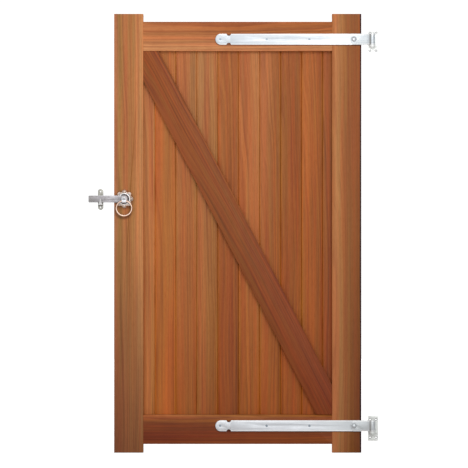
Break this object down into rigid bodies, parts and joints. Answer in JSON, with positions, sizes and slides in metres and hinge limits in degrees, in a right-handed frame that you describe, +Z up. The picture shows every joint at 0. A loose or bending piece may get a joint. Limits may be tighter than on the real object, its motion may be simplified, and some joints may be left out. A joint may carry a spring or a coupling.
{
  "type": "garden gate",
  "caption": "Framed, ledged and braced timber side gate with tongued and grooved boards, strap hinges on hook plates, and a ring latch with a drop bar and keep.",
  "frame": {"origin": "middle of the lower hook plate's four holes, on the face of the hinge post that the plate is screwed to", "axes": "+Z up, +Y from the front of the gate to its back, into the posts, and +X from the latch side to the hinge side as seen from the front. The gate is stored shut and latched."},
  "size_m": [1.1705, 0.0988, 1.775],
  "materials": {
    "stile_wood": "planed hardwood, oiled",
    "top_rail_wood": "planed hardwood, oiled",
    "bottom_rail_wood": "planed hardwood, oiled",
    "brace_wood": "planed hardwood, oiled",
    "wedge_wood": "end grain and sawn wedge",
    "board_wood": "planed hardwood boards, oiled",
    "strap_zinc": "bright galvanised steel",
    "bar_zinc": "galvanised steel",
    "latch_zinc": "bright zinc plate",
    "fixing_zinc": "zinc plated",
    "nail_steel": "galvanised"
  },
  "bodies": {
    "post_fixings": {"lower_hook_plate": "strap_zinc", "upper_hook_plate": "strap_zinc", "lower_hook_pin": "strap_zinc", "upper_hook_pin": "strap_zinc", "latch_keep": "bar_zinc"},
    "leaf": {"latch_stile": "stile_wood", "hinge_stile": "stile_wood", "top_rail": "top_rail_wood", "bottom_rail": "bottom_rail_wood", "board_01": "board_wood", "board_02": "board_wood", "board_03": "board_wood", "board_04": "board_wood", "board_05": "board_wood", "board_06": "board_wood", "board_07": "board_wood", "board_08": "board_wood", "board_09": "board_wood", "board_10": "board_wood", "brace": "brace_wood", "tenon_wedges": "wedge_wood", "top_board_nails": "nail_steel", "bottom_board_nails": "nail_steel", "brace_nails": "nail_steel", "top_strap": "strap_zinc", "bottom_strap": "strap_zinc", "strap_screws": "fixing_zinc", "strap_bolts": "fixing_zinc", "strap_bolt_washers": "fixing_zinc", "strap_bolt_nuts": "fixing_zinc", "front_rose": "latch_zinc", "back_rose": "latch_zinc", "front_rose_screws": "fixing_zinc", "back_rose_screws": "fixing_zinc"},
    "latch": {"latch_spindle": "bar_zinc", "latch_bar": "bar_zinc", "front_boss": "latch_zinc", "back_boss": "latch_zinc", "boss_pins": "bar_zinc"},
    "front_ring": {"front_ring": "latch_zinc"},
    "back_ring": {"back_ring": "latch_zinc"}
  },
  "joints": [
    {"name": "gate_swing", "type": "hinge", "parent": "post_fixings", "child": "leaf", "pos_m": [-0.0035, -0.01708, 0.011], "axis": [0, 0, 1], "range_deg": [0, 170]},
    {"name": "latch_lift", "type": "hinge", "parent": "leaf", "child": "latch", "pos_m": [-1.0065, -0.006, 0.928], "axis": [0, 1, 0], "range_deg": [0, 30]},
    {"name": "front_ring_swing", "type": "hinge", "parent": "latch", "child": "front_ring", "pos_m": [-1.0065, -0.0291, 0.919], "axis": [-1, 0, 0], "range_deg": [-18, 95]},
    {"name": "back_ring_swing", "type": "hinge", "parent": "latch", "child": "back_ring", "pos_m": [-1.0065, 0.056, 0.919], "axis": [1, 0, 0], "range_deg": [-10, 95]}
  ]
}
